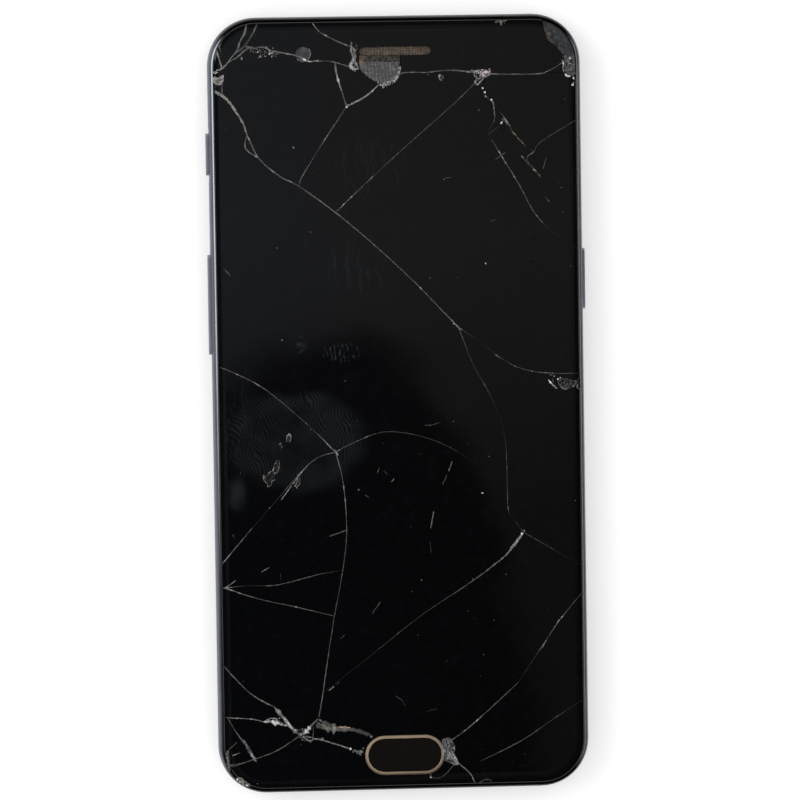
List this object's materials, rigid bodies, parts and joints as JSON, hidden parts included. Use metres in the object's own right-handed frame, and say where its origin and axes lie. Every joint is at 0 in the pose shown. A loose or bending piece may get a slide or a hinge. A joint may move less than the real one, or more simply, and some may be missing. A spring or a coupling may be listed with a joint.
{
  "type": "phone with shattered screen",
  "caption": "Slim touch-screen phone with a rounded metal body, side keys and a shattered glass face whose cracks cross the screen and whose corner has broken away.",
  "frame": {"origin": "under the middle of the body, on the plane of the flat back", "axes": "+X to the phone's right seen from the front, +Y to its top edge, +Z out of the screen"},
  "size_m": [0.075, 0.1542, 0.0072],
  "materials": {
    "screen_glass": "glossy toughened glass over a dark screen, shattered, with pale fracture edges, smudges and dust",
    "display": "dark switched-off display",
    "gasket": "black adhesive foam",
    "inner_frame": "dark slate inner frame",
    "earpiece_mesh": "fine woven mesh, brown-grey",
    "ring_metal": "warm bronze polished ring",
    "home_cap": "very dark brown ceramic",
    "body_metal": "fine blasted anodised metal, slate grey, scuffed",
    "chip": "black chip package",
    "camera_black": "matt black moulding",
    "clear_guide": "milky light guide",
    "key_metal": "anodised metal with bright chamfers, slate grey",
    "switch_parts": "pale moulding and spring steel",
    "circuit_board": "green solder mask",
    "shield_metal": "tinned sheet steel",
    "battery_wrap": "black laminate film",
    "flex_film": "amber polyimide film",
    "socket_metal": "nickel-plated shell",
    "fine_mesh": "dark woven mesh",
    "cable_jacket": "thin black jacket",
    "graphite": "graphite sheet",
    "screw_steel": "small steel screws",
    "antenna_plastic": "moulded plastic strip, grey",
    "lens_glass": "coated dark lens glass",
    "flash_plastic": "ribbed clear plastic"
  },
  "bodies": {
    "phone": {"cover_glass": "screen_glass", "display_panel": "display", "display_gasket": "gasket", "mid_frame": "inner_frame", "earpiece_mesh": "earpiece_mesh", "home_ring": "ring_metal", "home_cap": "home_cap", "fingerprint_sensor": "chip", "front_camera": "camera_black", "proximity_sensor": "chip", "status_led": "clear_guide", "earpiece_speaker": "camera_black", "alert_switch": "switch_parts", "volume_switches": "switch_parts", "power_switch": "switch_parts", "main_board": "circuit_board", "shield_cans": "shield_metal", "sim_reader": "shield_metal", "battery": "battery_wrap", "battery_flex": "flex_film", "lower_board": "circuit_board", "usb_socket": "socket_metal", "headphone_jack": "camera_black", "loudspeaker": "camera_black", "speaker_mesh": "fine_mesh", "microphone": "chip", "vibration_motor": "shield_metal", "main_flex": "flex_film", "display_flex": "flex_film", "coax_cable": "cable_jacket", "antenna_bracket": "camera_black", "heat_spreader": "graphite", "board_screws": "screw_steel", "bottom_screws": "screw_steel", "rear_housing": "body_metal", "antenna_band_top": "antenna_plastic", "antenna_band_bottom": "antenna_plastic", "rear_camera_module": "camera_black", "rear_camera_bezel": "key_metal", "rear_camera_window": "lens_glass", "flash_lens": "flash_plastic"},
    "alert_slider": {"alert_slider": "key_metal"},
    "volume_rocker": {"volume_rocker": "key_metal"},
    "power_button": {"power_button": "key_metal"},
    "sim_tray": {"sim_tray": "key_metal"},
    "eject_rod": {"eject_rod": "shield_metal"}
  },
  "joints": [
    {"name": "alert_slide", "type": "slide", "parent": "phone", "child": "alert_slider", "axis": [0, 1, 0], "range_m": [-0.0014, 0.0014]},
    {"name": "volume_rock", "type": "hinge", "parent": "phone", "child": "volume_rocker", "pos_m": [-0.03445, 0.0204, 0.0036], "axis": [0, 0, 1], "range_deg": [-1.5, 1.5], "stiffness_Nm_per_rad": 0.5},
    {"name": "power_press", "type": "slide", "parent": "phone", "child": "power_button", "axis": [-1, 0, 0], "range_m": [0, 0.0003], "stiffness_N_per_m": 4000},
    {"name": "sim_slide", "type": "slide", "parent": "phone", "child": "sim_tray", "axis": [1, 0, 0], "range_m": [0, 0.019]},
    {"name": "eject_push", "type": "slide", "parent": "phone", "child": "eject_rod", "axis": [-1, 0, 0], "range_m": [0, 0.0012], "stiffness_N_per_m": 400}
  ]
}
